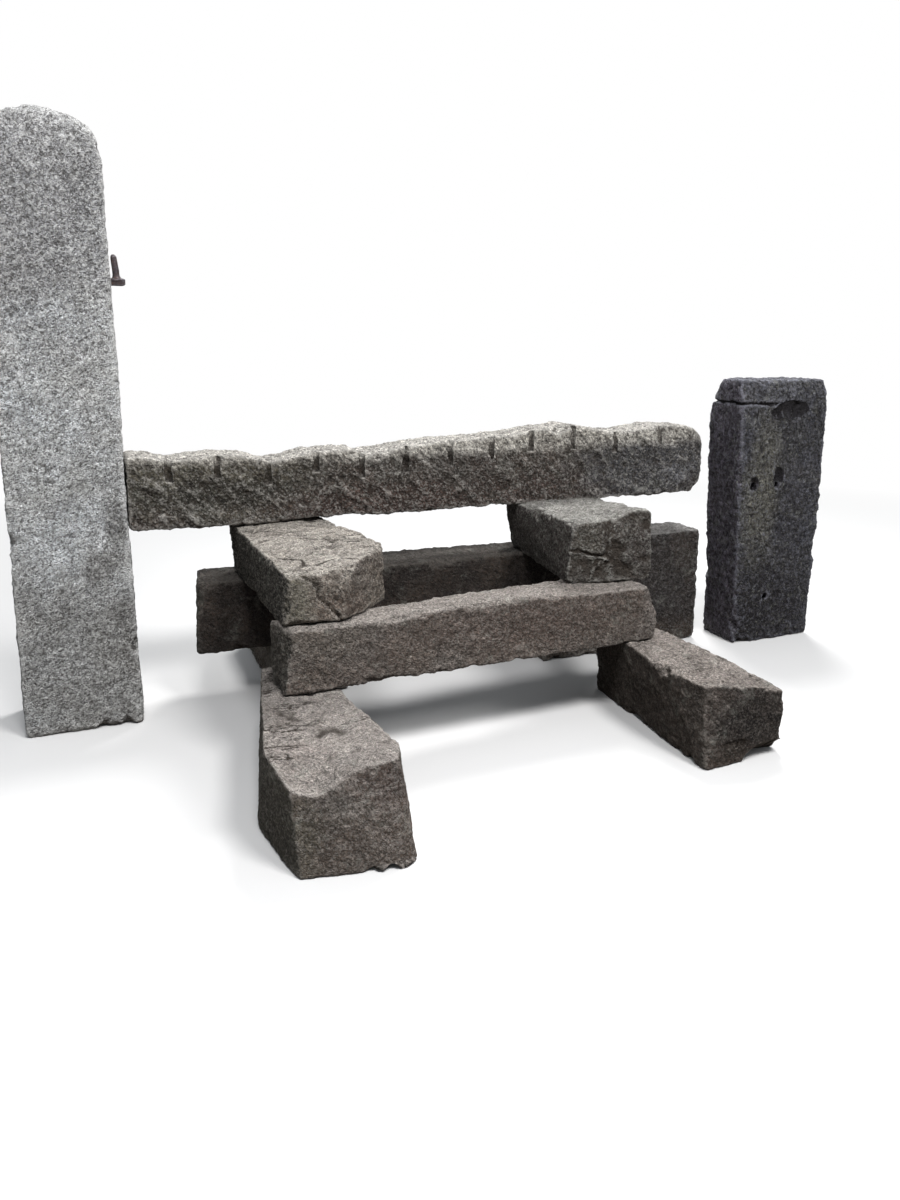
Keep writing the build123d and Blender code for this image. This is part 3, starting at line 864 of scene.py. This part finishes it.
# the right low step: layered top, with deep breaks at the foot of its front
rightLow = {
    "name": "rightLowStep", "slot": "buff_granite", "seed": 10, "voxel": 0.0052, "waveSize": 0.2,
    "slant": 30, "faces": {"top": (5, 4), "front": (5, 5), "bed": (2, 1), "other": (5, 5)}, "beds": 1.6,
    "chips": 11, "bites": [((1832, -1112, 0), (105, 75, 58)), ((1690, -1112, 70), (60, 30, 16))],
    "granite": {
        "shift": (1, 7, 9), "warm": (0.072, 0.055, 0.048), "cool": (0.072, 0.060, 0.055), "leftShade": 0.75,
        "leftShadeTone": (0.064, 0.053, 0.044), "footTop": 0.03, "pale": (0.441, 0.392, 0.356),
        "speckle": 0.15, "crystals": 0.22, "edges": 0.3, "mottle": 0.50, "clumps": 165, "cracks": 0.8,
        "crackTurn": -30, "hollowDirtAndShade": 0.75,
        "zones": [
            # painted shade: near black in the deep breaks at the foot of the front
            ((1760, -1110, 110), (180, 70, 150), (0.010, 0.008, 0.008), 0.95),
            ((1800, -1110, 60), (60, 40, 50), (0.012, 0.011, 0.012), 0.8)]}}
roughStone("right_low_step", rightLow)

# the two steps on the far side are plain
leftBack = {
    "name": "leftBackStep", "slot": "dark_granite", "seed": 11, "voxel": 0.0078,
    "granite": {"shift": (9, 3, 3), "footTop": 0.03}}
roughStone("left_back_step", leftBack)

rightBack = {
    "name": "rightBackStep", "slot": "dark_granite", "seed": 12, "voxel": 0.0078,
    "granite": {"shift": (9, 6, 2), "footTop": 0.03}}
roughStone("right_back_step", rightBack)

# the block between the back bearer and the right gatepost
endBlock = {
    "name": "rightEndBlock", "slot": "dark_granite", "seed": 13, "voxel": 0.0062,
    "faces": {"other": (5, 5), "bed": (2, 1)},
    "granite": {
        "shift": (8, 8, 1), "warm": (0.037, 0.030, 0.030), "cool": (0.037, 0.032, 0.033),
        "pale": (0.304, 0.296, 0.288), "crystals": 0.3, "speckle": 0.2, "footTop": 0.06}}
roughStone("right_end_block", endBlock)


# the gate hook: forged iron, pitted and rusted; its lengths are in millimetres, but for voxel
hook = {
    "name": "gateHook", "slot": "wrought_iron", "voxel": 0.0015, "collar": 3.6, "collarHeight": 1491,
    "collarRise": 9, "collarReach": 24, "pinHeight": 1494, "pinLength": 100, "lean": 0.05, "taper": 0.34,
    "shorter": 0.08, "tip": 13, "round": 0.4, "hammered": 0.9, "hammerSize": 21, "pitted": 0.35,
    "pitSize": 5, "inset": 0.4,
    "dark": (0.044, 0.038, 0.046), "brown": (0.075, 0.055, 0.055), "rust": (0.150, 0.078, 0.050),
    "scale": (0.045, 0.036, 0.034), "rubbedAndHighlight": (0.36, 0.35, 0.39)}


def rustFinish(look):
    finish, tree = freshMaterial("rustedIron")
    place = addNode(tree, "ShaderNodeTexCoord").outputs["Object"]

    def cloudy(scale, detail, distortion=0.0):
        inputs = {
            "Vector": place, "Scale": scale, "Detail": detail, "Roughness": 0.62, "Distortion": distortion}
        return addNode(tree, "ShaderNodeTexNoise", inputs).outputs["Fac"]

    body = blend(tree, remap(tree, cloudy(40, 4, 0.5), 0.38, 0.62), look["dark"], look["brown"])
    body = blend(tree, remap(tree, cloudy(130, 4, 0.8), 0.54, 0.66, 0.0, 0.6), body, look["rust"])
    body = blend(tree, remap(tree, cloudy(300, 3), 0.56, 0.64, 0.0, 0.7), body, look["scale"])
    # what stands out is paler, partly rubbed bare and partly a painted highlight
    body = blend(tree, remap(tree, stored(tree, "relief"), 0.51, 0.62, 0.0, 0.85), body, look["rubbedAndHighlight"])
    rough = remap(tree, cloudy(90, 3), 0.3, 0.7, 0.45, 0.80)
    bumps = [(cloudy(210, 5, 0.4), 0.0016, 0.9), (cloudy(760, 3), 0.0006, 0.7)]
    surfaceOf(tree, bumps, {"Base Color": body, "Roughness": rough, "Metallic": 0.45})
    return finish


def makeHook(look):
    piece = copyOf("gate_hook", look["name"])
    revoxelled(piece, look["voxel"])
    places = points(piece.data)
    mm = (places - origin) * 1000

    # the pin stands on a collar, tapers upwards and leans back to the stone
    pin = mm[mm[:, 2] > look["pinHeight"] + 20]
    pinAt = np.array([np.median(pin[:, axis]) for axis in (0, 1)])
    up = np.maximum(mm[:, 2] - look["pinHeight"], 0)
    out = mm[:, :2] - pinAt
    gap = np.maximum(np.hypot(*out.T), 0.01)
    swell = look["collar"] * np.exp(-((mm[:, 2] - look["collarHeight"]) / look["collarRise"]) ** 2)
    swell *= gap < look["collarReach"]
    swell -= look["taper"] * gap * np.clip(up / look["pinLength"], 0, 1) ** 2.2
    mm[:, :2] += out / gap[:, None] * swell[:, None]
    mm[:, 0] -= up * look["lean"]
    mm[:, 2] -= up * look["shorter"]

    # the end of the lug is rounded
    tip = np.clip((mm[:, 0] - mm[:, 0].max() + look["tip"]) / look["tip"], 0, 1)[:, None] ** 2
    mm[:, 1:] += (mm[tip[:, 0] > 0, 1:].mean(axis=0) - mm[:, 1:]) * tip * look["round"]

    # hammer marks and pits
    normals = np.empty(len(places) * 3)
    piece.data.vertices.foreach_get("normal", normals)
    worn = look["hammered"] * cloud(mm, look["hammerSize"], 70)
    worn = worn + look["pitted"] * cloud(mm, look["pitSize"], 71, 2)
    mm += normals.reshape(-1, 3) * (worn - look["inset"])[:, None]
    setPoints(piece.data, origin + mm / 1000)
    skin = {"Lumps": 0.0002, "Grit": 0.0001, "Seed": 1.0, "Finish": rustFinish(look)}
    throughTree(piece, stoneSkin, skin)
    piece.data.shade_smooth()
    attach(piece, "root")
    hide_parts("gate_hook")
    print("hook forged,", len(piece.data.polygons), "faces")


makeHook(hook)


# pale floor that turns white towards the horizon, for the camera alone
def floorFinish():
    finish, tree = freshMaterial("paleFloor")
    seen = addNode(tree, "ShaderNodeLightPath").outputs["Is Camera Ray"]
    place = addNode(tree, "ShaderNodeTexCoord").outputs["Object"]
    colour = blend(tree, seen, (0.20, 0.185, 0.17), (0.74, 0.74, 0.74))
    matt = addNode(tree, "ShaderNodeBsdfDiffuse", {"Color": colour})
    white = addNode(tree, "ShaderNodeEmission", {"Color": (1, 1, 1, 1), "Strength": 1.0})
    far = vectorMaths(tree, "LENGTH", {0: place})["Value"]
    fade = maths(tree, "MULTIPLY", seen, remap(tree, far, 2.2, 6.0))
    both = addNode(tree, "ShaderNodeMixShader", {0: fade, 1: matt.outputs[0], 2: white.outputs[0]})
    addNode(tree, "ShaderNodeOutputMaterial", {"Surface": both.outputs[0]})
    return finish


half = 30  # of the floor's side, in metres
corners = [(-half, -half, 0), (half, -half, 0), (half, half, 0), (-half, half, 0)]
floorMesh = bpy.data.meshes.new("floor")
floorMesh.from_pydata(corners, [], [(0, 1, 2, 3)])
floor = newPiece("floor", floorMesh)
floorMesh.materials.append(floorFinish())

# the camera sees white all round, and the stones a sky that is brighter overhead
world = bpy.data.worlds.new("studio")
world.use_nodes = True
bpy.context.scene.world = world
sky = world.node_tree
sky.nodes.clear()
rays = addNode(sky, "ShaderNodeLightPath").outputs["Is Camera Ray"]
way = addNode(sky, "ShaderNodeTexCoord").outputs["Generated"]
climb = addNode(sky, "ShaderNodeSeparateXYZ", {0: way}).outputs["Z"]
strength = remap(sky, climb, 0.0, 1.0, 0.10, 0.55)
ambient = addNode(sky, "ShaderNodeBackground", {"Color": (0.92, 0.96, 1.0, 1), "Strength": strength})
white = addNode(sky, "ShaderNodeBackground", {"Color": (1, 1, 1, 1), "Strength": 1.0})
both = addNode(sky, "ShaderNodeMixShader", {0: rays, 1: ambient.outputs[0], 2: white.outputs[0]})
addNode(sky, "ShaderNodeOutputWorld", {"Surface": both.outputs[0]})


def softLamp(name, place, target, size, power, colour):
    lamp = bpy.data.lights.new(name, "AREA")
    lamp.shape = "DISK"
    lamp.size = size
    lamp.energy = power
    lamp.color = colour
    holder = newPiece(name, lamp)
    holder.location = place
    holder.rotation_euler = (Vector(target) - Vector(place)).to_track_quat("-Z", "Y").to_euler()


softLamp("behind", (2.2, 2.8, 5.4), (0, -0.2, 0.4), 2.0, 305, (1.0, 0.99, 0.98))
softLamp("above", (1.3, -3.6, 5.8), (-0.2, 0, 0.5), 1.8, 280, (1.0, 0.99, 0.98))
softLamp("left", (-1.1, -2.4, 4.2), (-1.4, 0, 1.0), 1.2, 110, (1.0, 0.99, 0.99))

# where the photograph was taken from: millimetres, and degrees down from level and to the right
view = {"place": (-116.4, -3201.8, 1310.0), "down": 16.278, "right": 21.638, "lens": 27.076, "sensor": 36}
camera = bpy.data.cameras.new("camera")
camera.sensor_fit = "VERTICAL"
camera.sensor_width = view["sensor"]
camera.sensor_height = view["sensor"]
camera.lens = view["lens"]
eye = newPiece("camera", camera)
eye.location = at(*view["place"])
eye.rotation_euler = (math.radians(90 - view["down"]), 0, math.radians(-view["right"]))
bpy.context.scene.camera = eye
bpy.context.scene.view_settings.view_transform = "Standard"
print("floor, lamps and camera set")
